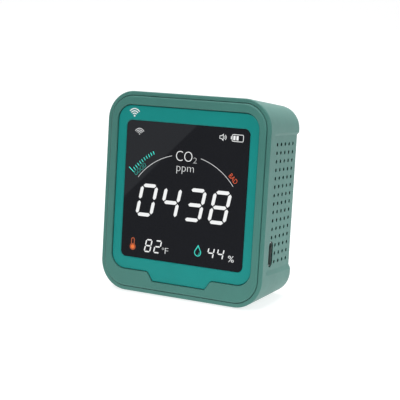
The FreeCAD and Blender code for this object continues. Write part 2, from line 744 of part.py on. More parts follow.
def button_board():
    width, thickness, height = BUTTON_BOARD_WIDTH, BUTTON_BOARD_THICKNESS, BUTTON_BOARD_HEIGHT
    solid = block(width, thickness, height, 0, BUTTON_BOARD_FRONT, BUTTON_LEVEL)
    for x in (-BUTTON_SCREW_X, BUTTON_SCREW_X):
        solid = solid.cut(rod(SMALL_CLEARANCE_RADIUS, BUTTON_BOARD_FRONT, SWITCH_FRONT, x, BUTTON_LEVEL))
    return solid


def tact_switches():
    switches = []
    for x in BUTTON_XS:
        body = block(SWITCH_SIZE, SWITCH_HEIGHT, SWITCH_SIZE, x, SWITCH_FRONT, BUTTON_LEVEL)
        bore = rod(SWITCH_BORE_RADIUS, SWITCH_BACK - SWITCH_BORE_DEPTH, SWITCH_BACK, x, BUTTON_LEVEL)
        switches.append(body.cut(bore))
    return switches


def button_cap(x):
    """Round cap that shows in the back, with a wider flange behind the wall that holds it in."""
    cap = rod(CAP_RADIUS, FLANGE_FRONT, CAP_TOP_DEPTH, x, BUTTON_LEVEL)
    rim = [edge for edge in cap.Edges if abs(edge.BoundBox.YMin - FRONT_Y - CAP_TOP_DEPTH) < EDGE_TOLERANCE]
    cap = cap.makeFillet(CAP_ROUNDING, rim)
    return cap.fuse(rod(CAP_FLANGE_RADIUS, FLANGE_FRONT, FLANGE_BACK, x, BUTTON_LEVEL))


def plunger(x):
    return rod(PLUNGER_RADIUS, SWITCH_BACK - PLUNGER_INSERTION, FLANGE_FRONT, x, BUTTON_LEVEL)


def ribbon_socket_places():
    """Fronts of the two ribbon sockets: on the main board and on the button board."""
    return (BOARD_BACK, BUTTON_BOARD_FRONT - RIBBON_SOCKET_THICKNESS)


def ribbon_sockets():
    width, thickness, height = RIBBON_SOCKET_WIDTH, RIBBON_SOCKET_THICKNESS, RIBBON_SOCKET_HEIGHT
    sockets = []
    for front in ribbon_socket_places():
        sockets.append(block(width, thickness, height, RIBBON_X, front, BUTTON_LEVEL))
    return sockets


def button_ribbon():
    front = BOARD_BACK + RIBBON_SOCKET_THICKNESS
    back = BUTTON_BOARD_FRONT - RIBBON_SOCKET_THICKNESS
    return block(RIBBON_WIDTH, back - front, RIBBON_THICKNESS, RIBBON_X, front, BUTTON_LEVEL)


def hex_socket(x, level, head_back):
    """Six-sided socket cut in a screw head."""
    radius = HEX_SOCKET_SIZE / 2
    floor = head_back - HEX_SOCKET_DEPTH
    corners = []
    for corner in range(HEX_CORNERS):
        angle = 2 * math.pi * corner / HEX_CORNERS
        corners.append((at(x + radius * math.cos(angle), floor, level + radius * math.sin(angle)), 0))
    return plate(rounded_wire(corners), HEX_SOCKET_DEPTH)


def case_screws():
    screws = []
    head_back = HEAD_SEAT + HEAD_HEIGHT
    for x, level in POST_PLACES:
        shank = rod(CASE_SCREW_RADIUS, CASE_SCREW_TIP, HEAD_SEAT, x, level)
        screw = shank.fuse(rod(HEAD_RADIUS, HEAD_SEAT, head_back, x, level))
        screws.append(screw.cut(hex_socket(x, level, head_back)))
    return screws


def board_screws():
    """Screws from behind the main board into the front frame."""
    screws = []
    for x, level in BOARD_SCREW_PLACES:
        shank = rod(BOARD_SCREW_RADIUS, BOARD_BACK - BOARD_SCREW_LENGTH, BOARD_BACK, x, level)
        head = rod(BOARD_HEAD_RADIUS, BOARD_BACK, BOARD_BACK + BOARD_HEAD_HEIGHT, x, level)
        screws.append(shank.fuse(head))
    return screws


def button_board_screws():
    """Screws from in front of the button board into the posts on the back wall."""
    screws = []
    for side in (-1, 1):
        x = side * BUTTON_SCREW_X
        tip = BUTTON_BOARD_FRONT + BOARD_SCREW_LENGTH
        head_front = BUTTON_BOARD_FRONT - BOARD_HEAD_HEIGHT
        shank = rod(BOARD_SCREW_RADIUS, BUTTON_BOARD_FRONT, tip, x, BUTTON_LEVEL)
        head = rod(BOARD_HEAD_RADIUS, head_front, BUTTON_BOARD_FRONT, x, BUTTON_LEVEL)
        screws.append(shank.fuse(head))
    return screws


def dust_mesh(side):
    """Thin sheet just inside the side wall, behind the vents."""
    inset = WALL + MESH_GAP
    outer = case_block(MESH_FRONT, MESH_BACK, inset)
    sheet = outer.cut(case_block(MESH_FRONT, MESH_BACK, inset + MESH_THICKNESS))
    rows = (VENT_ROWS - 1) * VENT_ROW_PITCH
    height = rows + 2 * MESH_MARGIN
    level = VENT_TOP_LEVEL - rows / 2
    zone = block(CASE_WIDTH / 2, CASE_DEPTH, height, side * CASE_WIDTH / 4, 0, level)
    return sheet.common(zone)


def dust_mesh_right():
    """The right-hand sheet is cut away round the USB-C socket."""
    return dust_mesh(1).cut(usb_slot_cutter(MESH_USB_MARGIN))


def feet(depth):
    """Pair of rubber feet at a depth, rounded where they meet the table."""
    pair = []
    for side in (-1, 1):
        foot = foot_cylinder(side * FOOT_X, depth)
        lower_rim = min(foot.Edges, key=lambda edge: edge.CenterOfMass.z)
        pair.append(foot.makeFillet(FOOT_ROUNDING, [lower_rim]))
    return pair


def leaned(shape):
    """The shape leaned back about the front edge of the underside; a group of solids becomes a compound."""
    if isinstance(shape, list):
        shape = Part.makeCompound(shape)
    leaning = shape.copy()
    leaning.rotate(at(0, RIM_DEPTH, -CASE_HEIGHT / 2), Vector(1, 0, 0), -LEAN)
    return leaning


NODES = {
    "rear_housing": rear_housing(),
    "front_frame": front_frame(),
    "teal_fascia": teal_fascia(),
    "display_window": display_window(),
    "lcd_panel": lcd_panel(),
    "backlight_guide": backlight_guide(),
    "display_bracket": display_bracket(),
    "display_flex": display_flex(),
    "main_board": main_board(),
    "board_chips": board_chips(),
    "radio_board": radio_board(),
    "radio_shield": radio_shield(),
    "sounder": sounder(),
    "usb_shell": usb_shell(),
    "usb_tongue": usb_tongue(),
    "sensor_board": sensor_board(),
    "sensor_pins": sensor_pins(),
    "sensor_cell": sensor_cell(),
    "sensor_filter": sensor_filter(),
    "climate_board": climate_board(),
    "climate_chip": climate_chip(),
    "battery": battery(),
    "battery_pad": battery_pad(),
    "battery_plug": battery_plug(),
    "battery_leads": battery_leads(),
    "button_board": button_board(),
    "tact_switches": tact_switches(),
    "power_cap": button_cap(BUTTON_XS[0]),
    "power_plunger": plunger(BUTTON_XS[0]),
    "alarm_cap": button_cap(BUTTON_XS[1]),
    "alarm_plunger": plunger(BUTTON_XS[1]),
    "unit_cap": button_cap(BUTTON_XS[2]),
    "unit_plunger": plunger(BUTTON_XS[2]),
    "ribbon_sockets": ribbon_sockets(),
    "button_ribbon": button_ribbon(),
    "case_screws": case_screws(),
    "board_screws": board_screws(),
    "button_board_screws": button_board_screws(),
    "dust_mesh_right": dust_mesh_right(),
    "dust_mesh_left": dust_mesh(-1),
    "front_feet": feet(FOOT_DEPTHS[0]),
    "rear_feet": feet(FOOT_DEPTHS[1]),
}

leaned_nodes = {node: leaned(shape) for node, shape in NODES.items()}
whole = Part.makeCompound([leaned_nodes["rear_housing"], leaned_nodes["front_frame"]])
outline = whole.optimalBoundingBox(False, False)
to_middle = Vector(0, -(outline.YMin + outline.YMax) / 2, 0)
for node, shape in leaned_nodes.items():
    shape.translate(to_middle)
    shape.exportStep("parts/" + node + ".step")
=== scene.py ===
import json
import math

import bmesh
import bpy
from mathutils import Matrix, Vector


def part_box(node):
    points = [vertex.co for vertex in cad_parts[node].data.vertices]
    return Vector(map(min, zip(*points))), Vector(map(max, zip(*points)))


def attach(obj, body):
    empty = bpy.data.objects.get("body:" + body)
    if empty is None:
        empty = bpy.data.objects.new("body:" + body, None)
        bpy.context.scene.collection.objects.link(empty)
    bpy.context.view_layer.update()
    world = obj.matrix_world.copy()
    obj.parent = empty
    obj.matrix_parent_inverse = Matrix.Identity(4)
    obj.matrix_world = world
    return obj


# Looks of the desktop carbon dioxide monitor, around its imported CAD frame.
# Lengths named here are in millimetres and are turned into metres with MM.
# The monitor leans back, so flat details are drawn on its upright front and then leaned with it:
# "level" is the height above the case's middle along the front face.

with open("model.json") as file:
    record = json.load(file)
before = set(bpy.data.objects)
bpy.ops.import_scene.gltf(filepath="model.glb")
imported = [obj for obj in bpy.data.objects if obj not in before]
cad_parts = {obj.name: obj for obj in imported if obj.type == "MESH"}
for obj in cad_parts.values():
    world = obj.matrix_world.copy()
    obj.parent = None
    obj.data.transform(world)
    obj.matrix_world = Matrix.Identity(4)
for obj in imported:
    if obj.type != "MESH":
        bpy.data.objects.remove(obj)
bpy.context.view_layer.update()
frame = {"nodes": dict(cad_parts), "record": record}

MM = 0.001
NODES = frame["nodes"]
LEAN = math.radians(5.0)
WINDOW_LEVEL = 1.05
WINDOW_DEPTH = 1.0
WINDOW_THICKNESS = 0.9
FASCIA_DEPTH = 0.7

# Case sides: how far they taper, and the box inside them that the vents and the USB-C slot open into, where
# the case's colour carries painted shade
SIDE_TAPER = math.tan(math.radians(3.0))
HALF_WIDTH = 34.6
VENT_SHADE = 0.75
VENT_MIDDLE_DEPTH = 17.0
VENT_REACH = 10.3
VENT_HALF_HEIGHT = 25.0
# Painted shade in the vents and the USB-C slot: the part of its colour that the case keeps there
VENT_PAINTED_SHADE = 0.06

WINDOW_MIDDLE = (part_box("display_window")[0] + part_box("display_window")[1]) / 2
TO_FRONT_CENTRE = Matrix.Translation(
    Vector((0, -WINDOW_DEPTH - WINDOW_THICKNESS / 2, -WINDOW_LEVEL)) * MM
)
# From a point drawn on the upright case (x, depth, level) in metres to its place on the leaning one
CASE = Matrix.Translation(WINDOW_MIDDLE) @ Matrix.Rotation(-LEAN, 4, "X") @ TO_FRONT_CENTRE

# Linear colours
SAGE = (0.052, 0.202, 0.168)
TEAL = (0.003, 0.262, 0.238)
WINDOW_BLACK = (0.0090, 0.0096, 0.0125)
WHITE = (0.92, 0.93, 0.93)
PALE_GREY = (0.50, 0.51, 0.51)
TURQUOISE = (0.040, 0.680, 0.560)
DEEP_TURQUOISE = (0.022, 0.300, 0.250)
ORANGE_RED = (0.60, 0.085, 0.030)
DULL_ORANGE = (0.52, 0.10, 0.030)
BRIGHT_ORANGE = (1.00, 0.20, 0.030)
FLOOR_WHITE = (0.35, 0.35, 0.35)
COOL_WHITE = (0.88, 0.96, 1.0)

# How much of its colour a lit part of the readout has by itself, and how brightly the floor glows
UNLIT = 0.08
FLOOR_GLOW = 0.76

# Front of the floor, in metres: (distance towards the backdrop, half width); its near end is narrow
# so that the window doesn't mirror it
FLOOR_FRONT = ((-0.24, 0.06), (-0.06, 0.10), (0.08, 0.80))

# Camera: where it stands, how it is turned in degrees, and its lens
CAMERA_PLACE = (206.89, -377.85, 116.94)
CAMERA_AZIMUTH = 28.758
CAMERA_ELEVATION = 10.723
CAMERA_ROLL = 0.894
LENS = 102.87
SENSOR = 36.0

# Readout, in millimetres on the front face: (x, level), shifted sideways as a whole by READOUT_SHIFT
READOUT_SHIFT = -0.24
PRINT_THICKNESS = 0.03
SEGMENTS = {
    "0": "abcdef",
    "2": "abged",
    "3": "abgcd",
    "4": "fgbc",
    "8": "abcdefg",
}
DIGIT_SLANT = 0.185
ROW_RISE = 0.013
BIG_DIGITS = {"text": "0438", "x": -20.45, "level": -9.0, "width": 7.55, "height": 12.55,
              "pitch": 10.42, "stroke": 1.34, "gap": 0.34}
TEMPERATURE = {"text": "82", "x": -15.75, "level": -22.5, "width": 2.9, "height": 5.05,
               "pitch": 4.15, "stroke": 0.48, "gap": 0.15}
HUMIDITY = {"text": "44", "x": 11.35, "level": -21.6, "width": 2.75, "height": 4.3,
            "pitch": 4.0, "stroke": 0.46, "gap": 0.15}

# Dial above the digits: two stretches of its line, in degrees, and a row of ticks outside it
DIAL_CENTRE = (0.5, -10.1)
DIAL_RADIUS = 25.85
DIAL_LINE = 0.17
DIAL_SPANS = ((103.7, 142.1), (38.7, 76.0))
TICK_FIRST = 141.8
TICK_LAST = 118.8
TICK_COUNT = 11
TICK_INNER = 28.55
TICK_OUTER = 29.8
LONG_TICK_OUTER = 31.3
TICK_LINE = 0.15

THERMOMETER_BULB = (-20.75, -21.1)

# Signs on the back faces of the button caps
BUTTON_XS = (-13.0, 0.0, 13.0)
BUTTON_LEVEL = 18.0
CAP_DEPTH = 29.85
CAP_INK = (0.62, 0.70, 0.68)

# Steps in a drawn arc or disc, in a half circle and in a rounded corner
ARC_STEPS = 24
DOT_STEPS = 12
CORNER_STEPS = 6

# Gleam on the window: two points of its edge on the front face, then the card that makes it: its
# distance from the mirrored camera as a multiple of the window's, its size in metres and its light
GLARE_EDGE = ((4.0, 27.0), (-27.6, -3.8))
GLARE_REACH = 2.2
GLARE_SIZE = 0.35
GLARE_COLOUR = (0.92, 0.96, 1.0)
GLARE_STRENGTH = 0.5

# Lights, in metres and watts, all aimed at one point
LIT_POINT = (0, 0, 0.04)
SOFTBOXES = {
    "side_softbox": {"place": (0.60, -0.05, 0.45), "size": 0.5, "power": 1.9, "colour": COOL_WHITE},
    "front_softbox": {"place": (-0.10, -0.75, 0.75), "size": 0.6, "power": 8.3, "colour": (1, 1, 1)},
    "top_softbox": {"place": (0.0, 0.25, 0.80), "size": 0.6, "power": 5.2, "colour": (1, 1, 1)},
}
SKY_COLOUR = (0.96, 0.98, 1.0)
SKY_STRENGTH = 0.18


# --- Materials -------------------------------------------------------------------------------

# A wave texture of scale 1 repeats after this length, and a colour runs between its two shades over
# this middle stretch of a pattern
WAVE_LENGTH = math.pi / 10
SHADES_START = 0.35
SHADES_END = 0.65


class Recipe:
    """A new material with its node tree and its shader at hand."""

    def __init__(self, name, colour, roughness):
        self.material = bpy.data.materials.new(name)
        self.material.use_nodes = True
        self.nodes = self.material.node_tree.nodes
        self.links = self.material.node_tree.links
        self.shader = self.nodes["Principled BSDF"]
        self.colour = colour
        self.roughness = roughness
        self.shader.inputs["Base Color"].default_value = (*colour, 1)
        self.shader.inputs["Roughness"].default_value = roughness
        self.place = self.nodes.new("ShaderNodeTexCoord").outputs["Object"]

    def noise(self, size, detail, stretch=(1, 1, 1)):
        """Noise whose features are about size millimetres across."""
        mapping = self.nodes.new("ShaderNodeMapping")
        mapping.inputs["Scale"].default_value = stretch
        texture = self.nodes.new("ShaderNodeTexNoise")
        texture.inputs["Scale"].default_value = 1 / (size * MM)
        texture.inputs["Detail"].default_value = detail
        self.links.new(self.place, mapping.inputs["Vector"])
        self.links.new(mapping.outputs["Vector"], texture.inputs["Vector"])
        return texture.outputs["Fac"]

    def waves(self, size, direction):
        """Parallel lines about size millimetres apart along X, Y or Z."""
        texture = self.nodes.new("ShaderNodeTexWave")
        texture.bands_direction = direction
        texture.inputs["Scale"].default_value = WAVE_LENGTH / (size * MM)
        self.links.new(self.place, texture.inputs["Vector"])
        return texture.outputs["Fac"]

    def vary_colour(self, pattern, darker, lighter):
        """The colour runs between two shades of itself with the pattern."""
        ramp = self.nodes.new("ShaderNodeValToRGB")
        ramp.color_ramp.elements[0].position = SHADES_START
        ramp.color_ramp.elements[1].position = SHADES_END
        ramp.color_ramp.elements[0].color = (*[c * darker for c in self.colour], 1)
        ramp.color_ramp.elements[1].color = (*[min(c * lighter, 1) for c in self.colour], 1)
        self.links.new(pattern, ramp.inputs["Fac"])
        self.links.new(ramp.outputs["Color"], self.shader.inputs["Base Color"])

    def two_colours(self, pattern, other, start, end):
        """The pattern shows a second colour between two of its values."""
        ramp = self.nodes.new("ShaderNodeValToRGB")
        ramp.color_ramp.elements[0].position = start
        ramp.color_ramp.elements[1].position = end
        ramp.color_ramp.elements[0].color = (*self.colour, 1)
        ramp.color_ramp.elements[1].color = (*other, 1)
        self.links.new(pattern, ramp.inputs["Fac"])
        self.links.new(ramp.outputs["Color"], self.shader.inputs["Base Color"])

    def vary_roughness(self, pattern, spread):
        reach = self.nodes.new("ShaderNodeMapRange")
        reach.inputs["To Min"].default_value = self.roughness - spread
        reach.inputs["To Max"].default_value = self.roughness + spread
        self.links.new(pattern, reach.inputs["Value"])
        self.links.new(reach.outputs["Result"], self.shader.inputs["Roughness"])

    def bump(self, pattern, depth, strength=0.5):
        node = self.nodes.new("ShaderNodeBump")
        node.inputs["Strength"].default_value = strength
        node.inputs["Distance"].default_value = depth * MM
        self.links.new(pattern, node.inputs["Height"])
        if self.shader.inputs["Normal"].is_linked:
            self.links.new(self.shader.inputs["Normal"].links[0].from_socket, node.inputs["Normal"])
        self.links.new(node.outputs["Normal"], self.shader.inputs["Normal"])

    def set(self, **values):
        """Sets plain values on the shader's sockets; underscores stand for spaces."""
        for name, value in values.items():
            self.shader.inputs[name.replace("_", " ")].default_value = value


def compare(recipe, kind, value, limit, reach=0.0):
    """1 where a value is less than a limit, or within a reach of it, and 0 elsewhere."""
    node = recipe.nodes.new("ShaderNodeMath")
    node.operation = kind
    node.inputs[1].default_value = limit * MM
    node.inputs[2].default_value = reach * MM
    recipe.links.new(value, node.inputs[0])
    return node.outputs["Value"]


def painted_vent_shade_mask(recipe):
    """Painted shade mask: 1 inside the vent holes and the USB-C slot, just below the side surfaces, and 0
    elsewhere.
    """
    to_case = recipe.nodes.new("ShaderNodeMapping")
    upright = CASE.inverted()
    to_case.inputs["Location"].default_value = upright.to_translation()
    to_case.inputs["Rotation"].default_value = upright.to_euler()
    recipe.links.new(recipe.place, to_case.inputs["Vector"])
    parts = recipe.nodes.new("ShaderNodeSeparateXYZ")
    recipe.links.new(to_case.outputs["Vector"], parts.inputs["Vector"])
    outward = recipe.nodes.new("ShaderNodeMath")
    outward.operation = "ABSOLUTE"
    recipe.links.new(parts.outputs["X"], outward.inputs[0])
    untapered = recipe.nodes.new("ShaderNodeMath")
    untapered.operation = "MULTIPLY_ADD"
    untapered.inputs[1].default_value = SIDE_TAPER
    recipe.links.new(parts.outputs["Y"], untapered.inputs[0])
    recipe.links.new(outward.outputs["Value"], untapered.inputs[2])
    below = compare(recipe, "LESS_THAN", untapered.outputs["Value"], HALF_WIDTH - VENT_SHADE)
    along = compare(recipe, "COMPARE", parts.outputs["Y"], VENT_MIDDLE_DEPTH, VENT_REACH)
    upward = compare(recipe, "COMPARE", parts.outputs["Z"], 0.0, VENT_HALF_HEIGHT)
    mask = below
    for other in (along, upward):
        both = recipe.nodes.new("ShaderNodeMath")
        both.operation = "MULTIPLY"
        recipe.links.new(mask, both.inputs[0])
        recipe.links.new(other, both.inputs[1])
        mask = both.outputs["Value"]
    return mask


def moulded_recipe(name, colour, roughness, grain=0.45):
    """Fine moulded grain, its size in millimetres, over a broad and faint unevenness."""
    recipe = Recipe(name, colour, roughness)
    recipe.vary_colour(recipe.noise(size=9.0, detail=3.0), darker=0.965, lighter=1.035)
    recipe.vary_roughness(recipe.noise(size=2.5, detail=3.0), spread=0.05)
    recipe.bump(recipe.noise(size=grain, detail=3.0), depth=0.02)
    recipe.bump(recipe.noise(size=14.0, detail=1.0), depth=0.02, strength=0.2)
    recipe.set(IOR=1.49, Sheen_Weight=0.08, Sheen_Roughness=0.5)
    return recipe


def moulded_plastic(name, colour, roughness, grain=0.45):
    return moulded_recipe(name, colour, roughness, grain).material


def case_plastic(name, colour, roughness):
    """Moulded plastic whose colour is darkened inside the vents and the USB-C slot, as painted shade."""
    recipe = moulded_recipe(name, colour, roughness)
    recipe.set(IOR=1.55)
    # Painted shade: inside the vents and the slot, the colour drops to a small fraction of itself
    mix = recipe.nodes.new("ShaderNodeMix")
    mix.data_type = "RGBA"
    mix.inputs["B"].default_value = (*[channel * VENT_PAINTED_SHADE for channel in colour], 1)
    colour_source = recipe.shader.inputs["Base Color"].links[0].from_socket
    recipe.links.new(painted_vent_shade_mask(recipe), mix.inputs["Factor"])
    recipe.links.new(colour_source, mix.inputs["A"])
    recipe.links.new(mix.outputs["Result"], recipe.shader.inputs["Base Color"])
    return recipe.material


def smooth_plastic(name, colour, roughness, specular=0.5):
    recipe = Recipe(name, colour, roughness)
    recipe.vary_colour(recipe.noise(size=12.0, detail=2.0), darker=0.975, lighter=1.025)
    recipe.vary_roughness(recipe.noise(size=3.0, detail=4.0), spread=0.04)
    recipe.bump(recipe.noise(size=0.7, detail=2.0), depth=0.006, strength=0.4)
    recipe.set(IOR=1.50, Specular_IOR_Level=specular)
    return recipe.material


def window_acrylic(name):
    """Dark polished window with faint handling marks."""
    recipe = Recipe(name, WINDOW_BLACK, roughness=0.02)
    recipe.vary_colour(recipe.noise(size=20.0, detail=1.0), darker=0.97, lighter=1.03)
    recipe.vary_roughness(recipe.noise(size=6.0, detail=5.0), spread=0.008)
    recipe.bump(recipe.noise(size=25.0, detail=1.0), depth=0.004, strength=0.2)
    recipe.set(IOR=1.49)
    return recipe.material


def lit_print(name, colour, strength):
    """Lit part of the readout: nearly black by itself, so its colour is its own light."""
    recipe = Recipe(name, [channel * UNLIT for channel in colour], roughness=0.4)
    recipe.vary_colour(recipe.noise(size=1.2, detail=2.0), darker=0.97, lighter=1.03)
    recipe.set(Emission_Color=(*colour, 1), Emission_Strength=strength)
    return recipe.material


def ink(name, colour):
    """Ink printed on plastic, with a slightly uneven film."""
    recipe = Recipe(name, colour, roughness=0.45)
    recipe.vary_colour(recipe.noise(size=0.6, detail=3.0), darker=0.95, lighter=1.03)
    recipe.bump(recipe.noise(size=0.3, detail=2.0), depth=0.004, strength=0.4)
    return recipe.material


def metal(name, colour, roughness, brush=(1, 1, 14)):
    recipe = Recipe(name, colour, roughness)
    recipe.vary_colour(recipe.noise(size=4.0, detail=3.0), darker=0.92, lighter=1.05)
    recipe.vary_roughness(recipe.noise(size=0.8, detail=3.0, stretch=brush), spread=0.07)
    recipe.bump(recipe.noise(size=0.4, detail=2.0, stretch=brush), depth=0.004, strength=0.5)
    recipe.set(Metallic=1.0)
    return recipe.material


def rubber(name, colour):
    recipe = Recipe(name, colour, roughness=0.82)
    recipe.vary_colour(recipe.noise(size=3.0, detail=3.0), darker=0.85, lighter=1.2)
    recipe.bump(recipe.noise(size=0.25, detail=4.0), depth=0.02, strength=0.6)
    recipe.set(Sheen_Weight=0.2, Sheen_Roughness=0.6)
    return recipe.material


def board_laminate(name):
    """Green solder mask over copper tracks."""
    recipe = Recipe(name, (0.012, 0.125, 0.045), roughness=0.38)
    tracks = recipe.waves(size=1.6, direction="X")
    recipe.two_colours(tracks, other=(0.030, 0.210, 0.070), start=0.72, end=0.80)
    recipe.bump(tracks, depth=0.03, strength=0.5)
    recipe.bump(recipe.noise(size=0.3, detail=2.0), depth=0.004, strength=0.5)
    return recipe.material


def ribbon_film(name):
    """Amber film with conductors along it."""
    recipe = Recipe(name, (0.48, 0.19, 0.030), roughness=0.35)
    conductors = recipe.waves(size=0.9, direction="X")
    recipe.two_colours(conductors, other=(0.62, 0.34, 0.10), start=0.55, end=0.65)
    recipe.bump(conductors, depth=0.02, strength=0.6)
    return recipe.material


def woven_mesh(name):
    """Fine black weave."""
    recipe = Recipe(name, (0.012, 0.013, 0.013), roughness=0.8)
    recipe.vary_colour(recipe.waves(size=0.22, direction="Z"), darker=0.6, lighter=1.8)
    recipe.bump(recipe.waves(size=0.22, direction="Y"), depth=0.03, strength=0.7)
    recipe.bump(recipe.waves(size=0.22, direction="Z"), depth=0.03, strength=0.7)
    return recipe.material


def soft_sheet(name, colour, pore):
    """Paper or foam with pores about as wide as given."""
    recipe = Recipe(name, colour, roughness=0.9)
    recipe.vary_colour(recipe.noise(size=pore, detail=4.0), darker=0.85, lighter=1.1)
    recipe.bump(recipe.noise(size=pore, detail=4.0), depth=0.05, strength=0.7)
    return recipe.material


def foil(name):
    """Crinkled aluminium pouch."""
    recipe = Recipe(name, (0.62, 0.63, 0.65), roughness=0.32)
    recipe.vary_colour(recipe.noise(size=5.0, detail=3.0), darker=0.9, lighter=1.06)
    recipe.bump(recipe.noise(size=2.2, detail=5.0), depth=0.12, strength=0.5)
    recipe.set(Metallic=0.9)
    return recipe.material


def floor_material():
    """Pale floor, lit from below like a light table."""
    recipe = Recipe("floor_white", FLOOR_WHITE, roughness=0.8)
    recipe.vary_colour(recipe.noise(size=90.0, detail=2.0), darker=0.995, lighter=1.005)
    recipe.set(Emission_Color=(1, 1, 1, 1), Emission_Strength=FLOOR_GLOW)
    return recipe.material


SLOT_MATERIALS = {
    "case_plastic": case_plastic("case_moulding", SAGE, roughness=0.50),
    "frame_plastic": moulded_plastic("frame_moulding", SAGE, roughness=0.50),
    "fascia_plastic": smooth_plastic("fascia_moulding", TEAL, roughness=0.40, specular=0.3),
    "window_acrylic": window_acrylic("window_acrylic_dark"),
    "panel_glass": smooth_plastic("panel_glass_dark", (0.02, 0.02, 0.025), roughness=0.15),
    "guide_acrylic": smooth_plastic("guide_frosted", (0.80, 0.81, 0.80), roughness=0.45),
    "bracket_plastic": moulded_plastic("bracket_moulding", (0.025, 0.025, 0.025), roughness=0.6),
    "ribbon_film": ribbon_film("ribbon_amber"),
    "board_laminate": board_laminate("board_green"),
    "chip_resin": moulded_plastic("chip_moulding", (0.018, 0.018, 0.018), roughness=0.55, grain=0.15),
    "shield_steel": metal("shield_tinned", (0.62, 0.62, 0.60), roughness=0.32),
    "socket_steel": metal("socket_satin", (0.46, 0.52, 0.50), roughness=0.38, brush=(14, 1, 1)),
    "black_plastic": moulded_plastic("plain_black", (0.020, 0.021, 0.021), roughness=0.5, grain=0.2),
    "white_plastic": moulded_plastic("nylon_white", (0.72, 0.71, 0.66), roughness=0.55, grain=0.2),
    "gilt_brass": metal("gilt", (0.83, 0.60, 0.24), roughness=0.25),
    "filter_membrane": soft_sheet("filter_white", (0.84, 0.84, 0.80), pore=0.2),
    "battery_foil": foil("battery_pouch"),
    "foam_rubber": soft_sheet("foam_black", (0.03, 0.03, 0.03), pore=0.5),
    "lead_rubber": rubber("lead_red", (0.42, 0.02, 0.015)),
    "cap_plastic": moulded_plastic("cap_moulding", (0.060, 0.165, 0.138), roughness=0.42, grain=0.35),
    "screw_steel": metal("screw_dark", (0.22, 0.22, 0.23), roughness=0.35, brush=(1, 14, 1)),
    "mesh_fabric": woven_mesh("mesh_black"),
    "foot_rubber": rubber("foot_black", (0.012, 0.012, 0.012)),
}


def finish_cad_nodes():
    """Every CAD node takes the material of its slot."""
    for part in frame["record"]["subparts"]:
        slots = NODES[part["node"]].data.materials
        for index in range(len(slots)):
            slots[index] = SLOT_MATERIALS[part["material_slot"]]


# --- Flat shapes on the front ----------------------------------------------------------------

def on_case(name, mesh, material, body="case"):
    """Adds an object from a mesh drawn on the upright case in metres, leaned and riding on a body."""
    mesh.transform(CASE)
    mesh.materials.clear()
    mesh.materials.append(material)
    piece = bpy.data.objects.new(name, mesh)
    bpy.context.scene.collection.objects.link(piece)
    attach(piece, body)


def flat_mesh(name, outlines, depth, thickness):
    """Mesh from flat outlines of (x, level) points, standing forward of a depth by a thickness."""
    mesh = bpy.data.meshes.new(name)
    shape = bmesh.new()
    for outline in outlines:
        rows = []
        for y in (depth - thickness, depth):
            rows.append([shape.verts.new(Vector((x, y, level)) * MM) for x, level in outline])
        shape.faces.new(rows[0])
        shape.faces.new(reversed(rows[1]))
        for index in range(len(outline)):
            after = (index + 1) % len(outline)
            shape.faces.new((rows[0][after], rows[0][index], rows[1][index], rows[1][after]))
    bmesh.ops.recalc_face_normals(shape, faces=shape.faces)
    shape.to_mesh(mesh)
    shape.free()
    return mesh


def readout_piece(name, outlines, material, thickness=PRINT_THICKNESS):
    """Lit shape on the front of the window."""
    shifted = [[(x + READOUT_SHIFT, level) for x, level in outline] for outline in outlines]
    mesh = flat_mesh(name, shifted, WINDOW_DEPTH, thickness)
    on_case(name, mesh, material)


def bar(start, end, stroke):
    """Six-sided bar between two points, with pointed ends."""
    (x0, z0), (x1, z1) = start, end
    length = math.hypot(x1 - x0, z1 - z0)
    ux, uz = (x1 - x0) / length, (z1 - z0) / length
    half = stroke / 2
    return [
        (x0, z0),
        (x0 + (ux + uz) * half, z0 + (uz - ux) * half),
        (x1 - (ux - uz) * half, z1 - (uz + ux) * half),
        (x1, z1),
        (x1 - (ux + uz) * half, z1 - (uz - ux) * half),
        (x0 + (ux - uz) * half, z0 + (uz + ux) * half),
    ]


def digit_outlines(layout):
    """Slanted seven-segment digits."""
    width, height, stroke, gap = (layout[key] for key in ("width", "height", "stroke", "gap"))
    left, right = stroke / 2, width - stroke / 2
    low, mid, high = stroke / 2, height / 2, height - stroke / 2
    ends = {
        "a": ((left, high), (right, high)),
        "b": ((right, mid), (right, high)),
        "c": ((right, low), (right, mid)),
        "d": ((left, low), (right, low)),
        "e": ((left, low), (left, mid)),
        "f": ((left, mid), (left, high)),
        "g": ((left, mid), (right, mid)),
    }
    outlines = []
    for place, digit in enumerate(layout["text"]):
        for segment in SEGMENTS[digit]:
            (x0, z0), (x1, z1) = ends[segment]
            if z0 == z1:
                outline = bar((x0 + gap, z0), (x1 - gap, z1), stroke)
            else:
                outline = bar((x0, z0 + gap), (x1, z1 - gap), stroke)
            across = place * layout["pitch"]
            outlines.append([
                (layout["x"] + across + x + DIGIT_SLANT * z, layout["level"] + z + ROW_RISE * (across + x))
                for x, z in outline
            ])
    return outlines


def on_circle(centre, radius, degrees):
    angle = math.radians(degrees)
    return (centre[0] + radius * math.cos(angle), centre[1] + radius * math.sin(angle))


def arc_band(centre, radius, start, end, stroke):
    """Band along an arc, as short four-sided pieces that share their ends."""
    pieces = []
    step = (end - start) / ARC_STEPS
    for index in range(ARC_STEPS):
        first, second = start + index * step, start + (index + 1) * step
        pieces.append([
            on_circle(centre, radius - stroke / 2, first),
            on_circle(centre, radius + stroke / 2, first),
            on_circle(centre, radius + stroke / 2, second),
            on_circle(centre, radius - stroke / 2, second),
        ])
    return pieces


def disc(centre, radius):
    return [on_circle(centre, radius, 360 * index / ARC_STEPS) for index in range(ARC_STEPS)]


def tick_outline(degrees, outer):
    """Bar that points at the dial's centre."""
    across = math.degrees(TICK_LINE / 2 / TICK_INNER)
    return [
        on_circle(DIAL_CENTRE, TICK_INNER, degrees - across),
        on_circle(DIAL_CENTRE, outer, degrees - across),
        on_circle(DIAL_CENTRE, outer, degrees + across),
        on_circle(DIAL_CENTRE, TICK_INNER, degrees + across),
    ]


